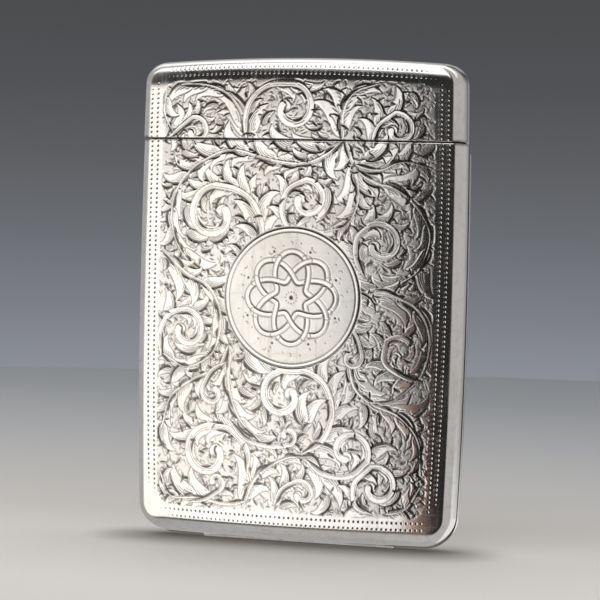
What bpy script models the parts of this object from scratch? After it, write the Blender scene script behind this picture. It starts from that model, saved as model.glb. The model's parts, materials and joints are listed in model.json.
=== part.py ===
"""A slim silver card case that stands on its foot.

The case is three pressed shells: a shallow back, a deep convex front cover that drops forward on a hinge
under the foot, and a lid that flips back on a hinge across the back. A collar inside the mouth holds the
lid, and three strips inside the back shell locate the front cover.

Frame: metres, X across, the front faces -Y, +Z up, origin under the middle of the case.
"""

from math import cos, pi, sin

import bmesh
import bpy
from mathutils import Matrix, Vector

MM = 0.001

# Outline, seen from the front
CASE_WIDTH = 65.6 * MM
CASE_TOP = 95.0 * MM
COVER_FOOT = 0.55 * MM
BACK_FOOT = 0.1 * MM
TOP_CORNER = 4.0 * MM
FOOT_CORNER = 6.0 * MM
TOP_BOW = 0.6 * MM
FOOT_BOW = 1.1 * MM
TOP_ARCH = 1.2 * MM
FOOT_ARCH = 0.4 * MM

# Depths, measured from the parting plane between the front cover and the back shell
SHOULDER_RISE = 5.7 * MM
SHOULDER_RUN = 2.3 * MM
CROWN = 3.3 * MM
CROWN_FADE = 0.2
BACK_DEPTH = 3.0 * MM
BACK_ROUNDING = 1.5 * MM

# Sheet, seams and the gaps between pieces
WALL = 0.6 * MM
PARTING_GAP = 0.2 * MM
SEAM_GAP = 0.24 * MM
FIT_GAP = 0.15 * MM
FRONT_SEAM = 78.9 * MM

# Lid: a little narrower than the body and worn to one side
LID_SHIFT = -0.3 * MM
LID_NARROWER = 0.15 * MM

# Hinge across the back
LID_AXIS_HEIGHT = 77.0 * MM
LID_KNUCKLE_RADIUS = 0.7 * MM
LID_KNUCKLE_PROUD = 0.25 * MM
LID_KNUCKLES = 7
LID_HINGE_LENGTH = 63.6 * MM

# Hinge under the foot
BASE_KNUCKLE_RADIUS = 0.6 * MM
BASE_KNUCKLES = 4
BASE_HINGE_LENGTH = 39.0 * MM

# Both hinges
PIN_RUNNING_FIT = 0.05 * MM
PIN_TO_KNUCKLE = 0.45
KNUCKLE_END_GAP = 0.1 * MM
KNUCKLE_SIDES = 20

# Collar in the mouth, and the strips inside the back shell
COLLAR_FOOT = 74.0 * MM
COLLAR_RISE = 2.1 * MM
COLLAR_THICK = 0.5 * MM
COLLAR_CLEAR = 0.6 * MM
COLLAR_LEAN = 0.65 * MM
RIM_THICK = 0.5 * MM
RIM_AHEAD = 1.3 * MM
RIM_BEHIND = 1.2 * MM
RIM_LEAD_IN = 0.2 * MM
SIDE_RIM_SPAN = (9.0 * MM, 73.0 * MM)
FOOT_RIM_HALF = 24.0 * MM

# Worked out from the sizes above
HALF_WIDTH = CASE_WIDTH / 2
MID_HEIGHT = CASE_TOP / 2
FRONT_DEPTH = SHOULDER_RISE + CROWN
PARTING_Y = (FRONT_DEPTH - BACK_DEPTH - LID_KNUCKLE_PROUD) / 2
LID_AXIS = Vector((0, PARTING_Y + BACK_DEPTH + LID_KNUCKLE_PROUD - LID_KNUCKLE_RADIUS, LID_AXIS_HEIGHT))
BASE_AXIS = Vector((0, PARTING_Y, BASE_KNUCKLE_RADIUS))
CORNER_STEPS = 4
SIDE_STEPS = 6
END_STEPS = 8
CROWN_INSETS = [6.5 * MM, 12.0 * MM, 18.0 * MM, 24.5 * MM, 31.3 * MM]
BEYOND = 2 * CASE_TOP

SILVER = (0.80, 0.79, 0.76)
SOFT_SILVER = (0.70, 0.68, 0.64)
PIN_STEEL = (0.55, 0.54, 0.52)


# Shape of the case

def bowed(x, z, depth):
    """A point of the plain outline, with the sides bowed and the ends arched."""
    along = (z - MID_HEIGHT) / MID_HEIGHT
    across = x / HALF_WIDTH
    bow, arch = (TOP_BOW, TOP_ARCH) if along > 0 else (FOOT_BOW, FOOT_ARCH)
    return Vector((x - bow * along ** 2 * across, PARTING_Y - depth, z - arch * across ** 2 * along))


def crown(x, z):
    """Height of the convex front over its shoulder, highest along the middle."""
    along = (z - MID_HEIGHT) / MID_HEIGHT
    return CROWN * (1 - (x / HALF_WIDTH) ** 2) * (1 - CROWN_FADE * along ** 2)


def outline(half_width, low, high, foot_corner, top_corner, inset):
    """(x, z) points of a rectangle with round corners, anticlockwise from its lower right corner."""
    trim = min(inset, SHOULDER_RUN)
    room = 0.95 * (half_width - inset)
    corners = [
        (1, low, 1, min(foot_corner - trim, room), -pi / 2),
        (1, high, -1, min(top_corner - trim, room), 0),
        (-1, high, -1, min(top_corner - trim, room), pi / 2),
        (-1, low, 1, min(foot_corner - trim, room), pi),
    ]
    arcs = []
    for side, edge, inward, radius, start in corners:
        centre_x = side * (half_width - inset - radius)
        centre_z = edge + inward * (inset + radius)
        turns = [start + i * pi / 2 / CORNER_STEPS for i in range(CORNER_STEPS + 1)]
        arcs.append([(centre_x + radius * cos(a), centre_z + radius * sin(a)) for a in turns])
    points = []
    for number, arc in enumerate(arcs):
        following = arcs[(number + 1) % 4][0]
        steps = (SIDE_STEPS, END_STEPS)[number % 2]
        points += arc + between(arc[-1], following, steps)
    return points


def between(start, end, steps):
    """The points that divide a straight stretch, without its ends."""
    return [tuple(a + (b - a) * i / steps for a, b in zip(start, end)) for i in range(1, steps)]


def front_levels(run, rise):
    """(inset, share of the shoulder's rise) pairs, from the parting plane up to the middle."""
    steps = 6
    turns = [i * pi / 2 / steps for i in range(steps + 1)]
    return [(run * (1 - cos(a)), sin(a)) for a in turns] + [(inset, 1) for inset in CROWN_INSETS]


def back_levels(depth):
    """(inset, depth) pairs from the flat back round to the straight side."""
    steps = 4
    turns = [i * pi / 2 / steps for i in range(steps + 1)]
    return [(BACK_ROUNDING * (1 - sin(a)), -depth + BACK_ROUNDING * (1 - cos(a))) for a in turns]


def form_rings(wall, foot, front=True, back=True, narrower=0.0, overlap=0.0):
    """Rings of the case's form inside a wall of this thickness, from the back to the front."""
    half = HALF_WIDTH - wall - narrower
    size = (half, foot + wall, CASE_TOP - wall, FOOT_CORNER - wall, TOP_CORNER - wall)
    rings = []
    if back:
        for inset, depth in back_levels(BACK_DEPTH - wall):
            rings.append([bowed(x, z, depth) for x, z in outline(*size, inset)])
    if overlap and not back:
        rings.append([bowed(x, z, -overlap) for x, z in outline(*size, 0)])
    if overlap and not front:
        rings.append([bowed(x, z, overlap) for x, z in outline(*size, 0)])
    if front:
        rise = SHOULDER_RISE - wall
        for inset, share in front_levels(SHOULDER_RUN, rise):
            points = outline(*size, inset)
            rings.append([bowed(x, z, share * (rise + crown(x, z))) for x, z in points])
    return rings


# Mesh building

def metal(name, colour, roughness):
    material = bpy.data.materials.new(name)
    material.use_nodes = True
    shader = material.node_tree.nodes["Principled BSDF"]
    shader.inputs["Base Color"].default_value = (*colour, 1)
    shader.inputs["Metallic"].default_value = 1
    shader.inputs["Roughness"].default_value = roughness
    return material


def loft(name, rings, colour=SILVER, roughness=0.2, looped=False):
    """One closed solid through rings with the same number of points, capped unless it runs round in a loop."""
    bm = bmesh.new()
    made = [[bm.verts.new(point) for point in ring] for ring in rings]
    pairs = list(zip(made, made[1:]))
    if looped:
        pairs.append((made[-1], made[0]))
    else:
        bm.faces.new(reversed(made[0]))
        bm.faces.new(made[-1])
    for first, second in pairs:
        for i in range(len(first)):
            j = (i + 1) % len(first)
            bm.faces.new((first[i], first[j], second[j], second[i]))
    bmesh.ops.triangulate(bm, faces=[face for face in bm.faces if len(face.verts) > 4])
    bmesh.ops.recalc_face_normals(bm, faces=bm.faces)
    mesh = bpy.data.meshes.new(name)
    bm.to_mesh(mesh)
    bm.free()
    mesh.shade_smooth()
    mesh.set_sharp_from_angle(angle=pi / 6)
    mesh.materials.append(metal(name, colour, roughness))
    piece = bpy.data.objects.new(name, mesh)
    bpy.context.scene.collection.objects.link(piece)
    return piece


def as_cutter(piece):
    piece.hide_render = True
    piece.display_type = "WIRE"
    return piece


def box_rings(low, high):
    """The two ends of a box, as rings in X."""
    corners = [(low[1], low[2]), (high[1], low[2]), (high[1], high[2]), (low[1], high[2])]
    return [[(x, y, z) for y, z in corners] for x in (low[0], high[0])]


def circle(x, axis, radius):
    turns = [i * 2 * pi / KNUCKLE_SIDES for i in range(KNUCKLE_SIDES)]
    return [(x, axis.y + radius * cos(a), axis.z + radius * sin(a)) for a in turns]


def cut(piece, cutter):
    modifier = piece.modifiers.new(cutter.name, "BOOLEAN")
    modifier.operation = "DIFFERENCE"
    modifier.solver = "EXACT"
    modifier.object = cutter


def hang_on(hinge, piece):
    """Gives a moving piece its origin on its hinge axis."""
    piece.data.transform(Matrix.Translation(-hinge.location))
    piece.parent = hinge


def hinge_axis(name, place):
    empty = bpy.data.objects.new(name, None)
    empty.location = place
    bpy.context.scene.collection.objects.link(empty)
    return empty


# Sub-parts

def shells(front_axis, lid_axis, base_relief, lid_relief):
    gap = PARTING_GAP / 2
    cover_top = FRONT_SEAM - SEAM_GAP / 2
    back_top = LID_AXIS_HEIGHT - SEAM_GAP / 2
    over = 4 * WALL

    cover = loft("front_cover", form_rings(0, COVER_FOOT, back=False))
    cover_hollow = as_cutter(loft("cover_hollow", form_rings(WALL, COVER_FOOT, back=False, overlap=over)))
    above_cover = slab("above_cover", (-BEYOND, cover_top), (BEYOND, BEYOND))
    behind_cover = slab("behind_cover", (PARTING_Y - gap, -BEYOND), (BEYOND, BEYOND))
    for cutter in (cover_hollow, behind_cover, above_cover, base_relief):
        cut(cover, cutter)
    hang_on(front_axis, cover)

    back = loft("back_shell", form_rings(0, BACK_FOOT, front=False, overlap=WALL))
    back_hollow = as_cutter(loft("back_hollow", form_rings(WALL, BACK_FOOT, front=False, overlap=over)))
    above_back = slab("above_back", (-BEYOND, back_top), (BEYOND, BEYOND))
    ahead_of_back = slab("ahead_of_back", (-BEYOND, -BEYOND), (PARTING_Y + gap, BEYOND))
    for cutter in (back_hollow, ahead_of_back, above_back, base_relief, lid_relief):
        cut(back, cutter)

    lid = loft("lid", form_rings(0, BACK_FOOT, narrower=LID_NARROWER))
    lid_hollow = as_cutter(loft("lid_hollow", form_rings(WALL, BACK_FOOT, narrower=LID_NARROWER)))
    for form in (lid, lid_hollow):
        form.data.transform(Matrix.Translation((LID_SHIFT, 0, 0)))
    below_lid = slab("below_lid", (-BEYOND, -BEYOND), (PARTING_Y + gap, FRONT_SEAM + SEAM_GAP / 2))
    below_lid_back = slab("below_lid_back", (PARTING_Y, -BEYOND), (BEYOND, LID_AXIS_HEIGHT + SEAM_GAP / 2))
    for cutter in (lid_hollow, below_lid, below_lid_back, lid_relief):
        cut(lid, cutter)
    hang_on(lid_axis, lid)


def slab(name, low, high):
    """A cutter right across the case between two (y, z) corners."""
    return as_cutter(loft(name, box_rings((-BEYOND, *low), (BEYOND, *high))))


def hinge_row(name, axis, radius, length, count, moving, moving_axis):
    """A row of tubes on one pin; the tubes whose place in the row is in moving turn with moving_axis."""
    pin_radius = radius * PIN_TO_KNUCKLE
    pitch = length / count
    for number in range(count):
        left = axis.x - length / 2 + number * pitch + KNUCKLE_END_GAP / 2
        right = left + pitch - KNUCKLE_END_GAP
        bore = pin_radius + PIN_RUNNING_FIT
        ends = ((left, radius), (right, radius), (right, bore), (left, bore))
        knuckle = loft(f"{name}_knuckle_{number + 1}", [circle(x, axis, r) for x, r in ends], looped=True)
        if number in moving:
            hang_on(moving_axis, knuckle)
    half = (length - KNUCKLE_END_GAP) / 2
    pin_ends = [circle(x, axis, pin_radius) for x in (axis.x - half, axis.x + half)]
    loft(f"{name}_pin", pin_ends, PIN_STEEL, 0.35)


def mouth_collar():
    """A bezel round the front and sides of the mouth, open at the back, leaning in above the seam."""
    seam = FRONT_SEAM - SEAM_GAP
    levels = [(COLLAR_FOOT, 0), (seam, 0), (FRONT_SEAM + COLLAR_RISE, COLLAR_LEAN)]
    outer = [(z, WALL + COLLAR_CLEAR + lean) for z, lean in levels]
    inner = [(z, inset + COLLAR_THICK) for z, inset in reversed(outer)]
    columns = [mouth_path(z, inset) for z, inset in outer + inner]
    loft("mouth_collar", list(zip(*columns)), SOFT_SILVER, 0.3)


def mouth_path(z, inset):
    """Plan of the case at one height, inside its surface by inset, from the back left round to the back right."""
    half = HALF_WIDTH - inset
    rise = SHOULDER_RISE - inset
    right = [bowed(half, z, -RIM_BEHIND)]
    for run, share in front_levels(SHOULDER_RUN, rise):
        x = half - run
        right.append(bowed(x, z, share * (rise + crown(x, z))))
    path = [Vector((-p.x, p.y, z)) for p in right] + [Vector((p.x, p.y, z)) for p in reversed(right)]
    return path


def rim_section(edge, inward):
    """Section of a locating strip as (offset, depth) pairs, with its front edge leaning in."""
    inner = edge + inward * RIM_THICK
    lead = edge + inward * RIM_LEAD_IN
    return [(edge, -RIM_BEHIND), (edge, RIM_AHEAD / 2), (lead, RIM_AHEAD), (inner, RIM_AHEAD), (inner, -RIM_BEHIND)]


def side_rim(name, side):
    clear = WALL + 2 * FIT_GAP
    low, high = SIDE_RIM_SPAN
    steps = 10
    rings = []
    for i in range(steps + 1):
        z = low + (high - low) * i / steps
        section = rim_section(side * (HALF_WIDTH - clear), -side)
        rings.append([bowed(x, z, depth) for x, depth in section])
    loft(name, rings, SOFT_SILVER, 0.3)


def foot_rim():
    clear = WALL + 2 * FIT_GAP
    steps = 8
    rings = []
    for i in range(steps + 1):
        x = -FOOT_RIM_HALF + 2 * FOOT_RIM_HALF * i / steps
        section = rim_section(COVER_FOOT + clear, 1)
        rings.append([bowed(x, z, depth) for z, depth in section])
    loft("rim_foot", rings, SOFT_SILVER, 0.3)


def build():
    for obj in list(bpy.data.objects):
        bpy.data.objects.remove(obj)
    front_axis = hinge_axis("front_axis", BASE_AXIS)
    lid_axis = hinge_axis("lid_axis", LID_AXIS)
    base_reach = BASE_HINGE_LENGTH / 2 + KNUCKLE_END_GAP
    base_ends = [circle(x, BASE_AXIS, BASE_KNUCKLE_RADIUS + FIT_GAP) for x in (-base_reach, base_reach)]
    lid_ends = [circle(x, LID_AXIS, LID_KNUCKLE_RADIUS + FIT_GAP) for x in (-HALF_WIDTH, HALF_WIDTH)]
    base_relief = as_cutter(loft("base_relief", base_ends))
    lid_relief = as_cutter(loft("lid_relief", lid_ends))
    shells(front_axis, lid_axis, base_relief, lid_relief)
    hinge_row("base", BASE_AXIS, BASE_KNUCKLE_RADIUS, BASE_HINGE_LENGTH, BASE_KNUCKLES, (0, 2), front_axis)
    hinge_row("lid", LID_AXIS, LID_KNUCKLE_RADIUS, LID_HINGE_LENGTH, LID_KNUCKLES, (1, 3, 5), lid_axis)
    mouth_collar()
    side_rim("rim_left", -1)
    side_rim("rim_right", 1)
    foot_rim()


build()
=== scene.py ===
"""Looks for the silver card case: engraved shells, hinges, metal, camera and studio.

Sizes are in millimetres inside this script and turned into metres where a mesh is made. "Plan" means the
front elevation of the plain outline, (x, z), before its sides are bowed and its ends arched.
"""

import json
from math import atan2, cos, hypot, pi, radians, sin, sqrt

import bmesh
import bpy
import numpy as np
from mathutils import Matrix, Vector


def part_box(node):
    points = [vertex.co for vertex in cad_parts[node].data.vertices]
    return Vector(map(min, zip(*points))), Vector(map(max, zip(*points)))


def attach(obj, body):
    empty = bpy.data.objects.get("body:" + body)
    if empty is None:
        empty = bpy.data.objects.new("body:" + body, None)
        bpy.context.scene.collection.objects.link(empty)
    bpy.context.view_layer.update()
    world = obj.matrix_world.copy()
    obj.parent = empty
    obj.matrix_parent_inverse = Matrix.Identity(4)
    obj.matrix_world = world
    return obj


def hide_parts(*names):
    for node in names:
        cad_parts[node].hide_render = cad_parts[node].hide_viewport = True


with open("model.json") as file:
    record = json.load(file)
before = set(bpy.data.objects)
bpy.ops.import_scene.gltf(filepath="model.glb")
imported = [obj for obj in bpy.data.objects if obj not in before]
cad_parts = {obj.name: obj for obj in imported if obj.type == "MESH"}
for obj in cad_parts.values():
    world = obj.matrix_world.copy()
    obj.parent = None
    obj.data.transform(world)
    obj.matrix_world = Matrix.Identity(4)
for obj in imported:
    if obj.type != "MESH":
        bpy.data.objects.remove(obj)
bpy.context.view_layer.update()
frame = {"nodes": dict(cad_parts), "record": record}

MM = 0.001
rng = np.random.default_rng(1905)


# Sizes taken from the frame, in millimetres

def box_mm(node):
    low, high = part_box(node)
    return low / MM, high / MM


BACK_LOW, BACK_HIGH = box_mm("back_shell")
COVER_LOW, COVER_HIGH = box_mm("front_cover")
LID_LOW, LID_HIGH = box_mm("lid")
HALF_WIDTH = BACK_HIGH.x
CASE_TOP = LID_HIGH.z
MID_HEIGHT = CASE_TOP / 2
PARTING_Y = (COVER_HIGH.y + BACK_LOW.y) / 2
FRONT_DEPTH = PARTING_Y - COVER_LOW.y
BACK_DEPTH = BACK_HIGH.y - PARTING_Y
FRONT_SEAM = COVER_HIGH.z + 0.12
BACK_SEAM = BACK_HIGH.z + 0.12
LID_SHIFT = (LID_LOW.x + LID_HIGH.x) / 2
COVER_FOOT = COVER_LOW.z
BACK_FOOT = BACK_LOW.z

# The case's form, as the CAD shells have it, but for the shoulder: it is squarer along the sides and softer
# at the foot
TOP_CORNER = 4.0
FOOT_CORNER = 6.0
TOP_BOW, FOOT_BOW = 0.6, 1.1
TOP_ARCH, FOOT_ARCH = 1.2, 0.4
SHOULDER_RISE = 5.7
SHOULDER_RUN = 2.3
SQUARENESS = 4.0
FOOT_RUN = 3.8
FOOT_SQUARENESS = 2.2
TOP_ROLL = 1.3
TOP_ROLL_REACH = 6.0
CROWN = FRONT_DEPTH - SHOULDER_RISE
CROWN_FADE = 0.2
BACK_ROUNDING = 1.5
WALL = 0.6
LID_NARROWER = 0.15

# Gaps that show: the lid's seam and the line between the cover and the back shell, with painted shade of the
# gap, and some tarnish, darkening the metal along them
SEAM_GAP = 0.24
PARTING_GAP = 0.15
SEAM_SHADE_AND_TARNISH = 0.95
SEAM_SHADE_REACH = 0.55

# Fineness of the engraved meshes
GRID = 0.132
FIELD_INSET = 1.9
COARSE = 4


# ---------------------------------------------------------------------------
# Form of the case, for arrays of plan points
# ---------------------------------------------------------------------------

def bowed(x, z, depth):
    """Points of the case, (..., 3) in millimetres, from plan points and depths ahead of the parting plane."""
    along = (z - MID_HEIGHT) / MID_HEIGHT
    across = x / HALF_WIDTH
    bow = np.where(along > 0, TOP_BOW, FOOT_BOW)
    arch = np.where(along > 0, TOP_ARCH, FOOT_ARCH)
    return np.stack(
        [x - bow * along ** 2 * across, PARTING_Y - depth, z - arch * across ** 2 * along], axis=-1
    )


def unarched(x, z):
    """The plan height whose arched place is the true height z, so that a level seam stays level."""
    plan = z
    for _ in range(4):
        along = (plan - MID_HEIGHT) / MID_HEIGHT
        arch = np.where(along > 0, TOP_ARCH, FOOT_ARCH)
        plan = z + arch * (x / HALF_WIDTH) ** 2 * along
    return plan


def crown(x, z):
    """Height of the convex front over its shoulder, which rolls off towards the top."""
    along = (z - MID_HEIGHT) / MID_HEIGHT
    roll = np.clip(1 - (CASE_TOP - z) / TOP_ROLL_REACH, 0, 1)
    return CROWN * (1 - (x / HALF_WIDTH) ** 2) * (1 - CROWN_FADE * along ** 2) - TOP_ROLL * roll ** 3


def shoulder(x, z, lattice):
    """Run and squareness of the shoulder, which is softer and wider along the foot than at the sides."""
    dx = np.maximum(np.abs(x) - (lattice.half - lattice.corner), 0)
    dz = np.maximum(lattice.way * (z - lattice.end) + lattice.corner, 0)
    foot = dz ** 2 / (dx ** 2 + dz ** 2 + 1e-9) * (lattice.way < 0)
    return SHOULDER_RUN + (FOOT_RUN - SHOULDER_RUN) * foot, SQUARENESS + (FOOT_SQUARENESS - SQUARENESS) * foot


def front_depth(x, z, lattice, wall=0.0):
    """Depth of the front surface ahead of the parting plane, for a wall's inside when wall isn't 0."""
    run, square = shoulder(x, z, lattice)
    part = np.clip(1 - (lattice.inset(x, z) - wall) / run, 0, 1)
    return (1 - part ** square) ** (1 / square) * (SHOULDER_RISE - wall + crown(x, z))


# ---------------------------------------------------------------------------
# Engraving: cuts and raised ornament drawn on a plate, a raster of the plan
# ---------------------------------------------------------------------------

class Plate:
    """Three layers over the plan: how high the metal stands, how dark it is, and how matted."""

    STEP = 0.08
    RELIEF = 0.5
    LOW = np.array([-32.0, 0.0])
    HIGH = np.array([32.0, 96.0])

    def __init__(self):
        size = np.ceil((self.HIGH - self.LOW) / self.STEP).astype(int)
        self.x = self.LOW[0] + (np.arange(size[0]) + 0.5) * self.STEP
        self.z = self.LOW[1] + (np.arange(size[1]) + 0.5) * self.STEP
        self.height = np.zeros((size[1], size[0]))
        self.dark = np.zeros_like(self.height)
        self.matt = np.zeros_like(self.height)

    def window(self, points, reach):
        """The slice of the raster round some points, with its x and z."""
        low = ((points.min(axis=0) - reach - self.LOW) / self.STEP).astype(int)
        high = ((points.max(axis=0) + reach - self.LOW) / self.STEP).astype(int) + 1
        low = np.clip(low, 0, [len(self.x), len(self.z)])
        high = np.clip(high, 0, [len(self.x), len(self.z)])
        area = (slice(low[1], high[1]), slice(low[0], high[0]))
        return area, self.x[low[0]:high[0]][None, :], self.z[low[1]:high[1]][:, None]

    def follow(self, points, half_widths, reach):
        """Signed distance from a path in half widths and in mm, and place along it from 0 to 1."""
        area, x, z = self.window(points, reach)
        shape = (x * z).shape
        best = np.full(shape, 1e9)
        across = np.zeros(shape)
        distance = np.zeros(shape)
        along = np.zeros(shape)
        steps = len(points) - 1
        for i in range(steps):
            start, run = points[i], points[i + 1] - points[i]
            length = hypot(*run) + 1e-9
            t = np.clip(((x - start[0]) * run[0] + (z - start[1]) * run[1]) / length ** 2, 0, 1)
            dx, dz = x - start[0] - t * run[0], z - start[1] - t * run[1]
            away = np.hypot(dx, dz)
            nearer = away < best
            side = np.sign(run[0] * dz - run[1] * dx)
            width = half_widths[i] + (half_widths[i + 1] - half_widths[i]) * t
            best = np.where(nearer, away, best)
            distance = np.where(nearer, away * side, distance)
            across = np.where(nearer, away * side / np.maximum(width, 1e-3), across)
            along = np.where(nearer, (i + t) / steps, along)
        return area, across, distance, along

    def clear(self, area, mask):
        """Takes off what is already drawn under a new leaf or stem."""
        for layer in (self.height, self.dark, self.matt):
            layer[area] *= 1 - mask

    def cut(self, area, groove, depth, dark):
        """Cuts a groove given from 0 to 1 across its section."""
        depth = depth * self.RELIEF
        self.height[area] = np.minimum(self.height[area], self.height[area] * 0.3 - depth * groove)
        self.dark[area] = np.maximum(self.dark[area], dark * groove)


def groove(distance, half_width):
    """Section of a graver's cut, 1 at its middle and 0 at its edges."""
    return np.clip(1.25 - np.abs(distance) / np.maximum(half_width, 1e-3), 0, 1)


def swell(along, start=0.0, end=1.0):
    """A cut that opens from a point and closes to a point."""
    t = np.clip((along - start) / (end - start), 0, 1)
    return np.sin(pi * t) ** 0.7


def arc_path(start, heading, length, turn, steps=9, tighten=0.0):
    """Points of a curved stroke; turn is how far it bends, and tighten moves the bend to its end."""
    points = [np.array(start, float)]
    for i in range(steps):
        t = (i + 0.5) / steps
        angle = heading + turn * t ** (1 + tighten)
        points.append(points[-1] + length / steps * np.array([cos(angle), sin(angle)]))
    return np.array(points)


def smooth_path(knots, spacing=0.7):
    """A Catmull-Rom curve through given points."""
    knots = np.array(knots, float)
    ends = np.vstack([2 * knots[0] - knots[1], knots, 2 * knots[-1] - knots[-2]])
    points = []
    for i in range(1, len(ends) - 2):
        a, b, c, d = ends[i - 1:i + 3]
        count = max(2, int(hypot(*(c - b)) / spacing))
        for t in np.arange(count) / count:
            points.append(
                0.5 * (2 * b + (c - a) * t + (2 * a - 5 * b + 4 * c - d) * t ** 2
                       + (3 * b - a - 3 * c + d) * t ** 3)
            )
    points.append(knots[-1])
    return np.array(points)


def spiral_path(centre, radius, start, turns, direction, tightening=0.22):
    """A volute that winds inwards from a start angle."""
    steps = max(16, int(40 * turns))
    t = np.linspace(0, turns * 2 * pi, steps)
    reach = radius * np.exp(-tightening * t)
    angle = start + direction * t
    return np.array(centre) + np.stack([reach * np.cos(angle), reach * np.sin(angle)], axis=1)


def draw_leaf(plate, points, width, back, bold=1.0, hatch=6):
    """One finger of a leaf: bright, with a swelling cut down its back and finer ones beside it."""
    place = np.linspace(0, 1, len(points))
    half = width / 2 * np.maximum(np.sin(pi * place ** 0.62), 0.05) ** 0.8
    area, across, distance, along = plate.follow(points, half, width / 2 + 0.5)
    if across.size == 0:
        return
    plate.clear(area, np.clip((1.04 - np.abs(across)) / 0.1, 0, 1))
    local = np.interp(along, place, half)
    side = across * back
    reach = along < 0.985
    swelling = groove(distance - back * local * 0.95, 0.08 + 0.2 * bold * swell(along, 0.0, 0.75) ** 1.6)
    fine = groove(distance + back * local, 0.08 + 0.03 * swell(along))
    plate.cut(area, swelling * (side > 0) * reach, 0.13, 1.0)
    plate.cut(area, fine * (side < 0) * reach, 0.045, 0.75)
    gap = max(0.33, width / (hatch + 1.5))
    for number in range(hatch):
        line_at = local - gap * (number + 0.9)
        until = (0.78 - 0.11 * number) * rng.uniform(0.8, 1.1)
        line = groove(distance - back * line_at, 0.045 + 0.06 * swell(along, -0.3, until))
        drawn = (along < until) * (along > 0.04 * number) * (line_at > -0.75 * local)
        plate.cut(area, line * drawn, 0.05, 0.95 - 0.05 * number)


def draw_acanthus(plate, spine, width, back, bold=1.0, lobes=3):
    """A leaf with smaller fingers that peel off along its back, each curling over at its tip."""
    angle = headings(spine)
    length = lengths(spine)[-1]
    for number in range(lobes):
        at = int(len(spine) * (0.16 + 0.21 * number))
        outwards = np.array([-sin(angle[at]), cos(angle[at])]) * back
        size = rng.uniform(0.4, 0.5) * (1 - 0.14 * number)
        finger = arc_path(
            spine[at] + outwards * width * 0.2, angle[at] + back * rng.uniform(0.3, 0.5), length * size,
            back * rng.uniform(1.0, 1.6), steps=9, tighten=0.9
        )
        draw_leaf(plate, finger, width * 0.56, -back, bold, hatch=4)
    draw_leaf(plate, spine, width, back, bold)


def draw_stem(plate, points, width, way, taper=(1.0, 1.0)):
    """A scroll's stem: a bright ribbon with a fine line outside and long swelling cuts inside."""
    place = np.linspace(0, 1, len(points))
    half = width / 2 * (taper[0] + (taper[1] - taper[0]) * place) * np.clip(place / 0.1 + 0.3, 0, 1)
    area, across, distance, along = plate.follow(points, half, width / 2 + 0.4)
    if across.size == 0:
        return
    plate.clear(area, np.clip((1.1 - np.abs(across)) / 0.15, 0, 1))
    local = np.interp(along, place, half)
    beat = np.clip(np.sin(along * lengths(points)[-1] * 0.8), 0, 1)
    plate.cut(area, groove(distance + way * local, 0.07), 0.06, 0.75)
    plate.cut(area, groove(distance - way * local, 0.05 + 0.22 * beat), 0.1, 1.0)
    for share in (0.45, -0.05):
        line = groove(distance - way * share * local, 0.07) * (beat > 0.3 - share)
        plate.cut(area, line * (along > 0.04) * (along < 0.9), 0.04, 0.75)


def draw_line(plate, points, half_width, depth=0.06, dark=0.8, pointed=True):
    """One cut of the graver."""
    points = np.array(points, float)
    half = np.full(len(points), half_width)
    area, _, distance, along = plate.follow(points, half, half_width + 0.2)
    if distance.size == 0:
        return
    width = half_width * swell(along) if pointed else half_width
    plate.cut(area, groove(distance, width), depth, dark)


def draw_crescent(plate, start, heading, length, width, turn, tails=3):
    """A bold tapered cut with finer cuts fading beside it."""
    points = arc_path(start, heading, length, turn)
    draw_line(plate, points, width / 2, 0.13, 1.0)
    inward = np.array([-sin(heading + turn / 2), cos(heading + turn / 2)]) * (1 if turn > 0 else -1)
    for number in range(1, tails + 1):
        shift = inward * (0.16 + 0.17 * number)
        reach = length * (0.85 - 0.14 * number)
        tail = arc_path(points[1] + shift, heading + 0.05 * number, reach, turn * 0.8)
        draw_line(plate, tail, 0.075, 0.04, 0.62 - 0.1 * number)


def draw_dot(plate, centre, radius, depth, dark, rim=0.0):
    """A punched dot, with metal pushed up round it."""
    centre = np.array(centre, float)
    area, x, z = plate.window(centre[None, :], radius * 2.2)
    away = np.hypot(x - centre[0], z - centre[1])
    if away.size == 0:
        return
    bowl = np.clip(1 - (away / radius) ** 2, 0, 1)
    plate.height[area] += rim * np.exp(-((away - radius * 1.25) / (radius * 0.35)) ** 2)
    plate.height[area] -= depth * bowl
    plate.dark[area] = np.maximum(plate.dark[area], dark * np.clip(1.6 * bowl, 0, 1))


# ---------------------------------------------------------------------------
# Layout of the scrollwork, in plan millimetres
# ---------------------------------------------------------------------------

ROUNDEL = np.array([0.2, 48.5])
ROUNDEL_RADIUS = 13.6
ROUNDEL_INNER = 12.75
FIELD_LOW = np.array([-28.0, 6.6])
FIELD_HIGH = np.array([27.6, 90.6])
FIELD_CORNER = 3.0

# Short cuts in the ground, and the lengths of the leaves that fill gaps, with how often each is tried
GROUND_STROKES = 5600
FILLERS = ((7.5, 500), (5.5, 900), (4.0, 1300), (2.8, 1500))

# The roundel's knot: its loops over its turns, how far out its ribbon lies and swings, and the ribbon's width
KNOT_LOOPS, KNOT_TURNS = 8, 3
KNOT_REACH, KNOT_SWING = 6.1, 2.9
KNOT_RIBBON = 0.95

# Rows of punched dots along the border, from one end to the other
DOT_ROWS = (
    ((-30.4, 89.5), (-29.9, 10.5)),
    ((-29.1, 90.5), (-28.6, 8.5)),
    ((30.2, 89.5), (29.7, 9.5)),
    ((28.9, 90.5), (28.4, 8.0)),
    ((-25.5, 4.4), (27.2, 4.4)),
    ((-27.0, 5.7), (27.2, 5.7)),
    ((-26.5, 93.0), (27.0, 93.0)),
    ((-27.0, 91.8), (27.8, 91.8)),
)

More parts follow.
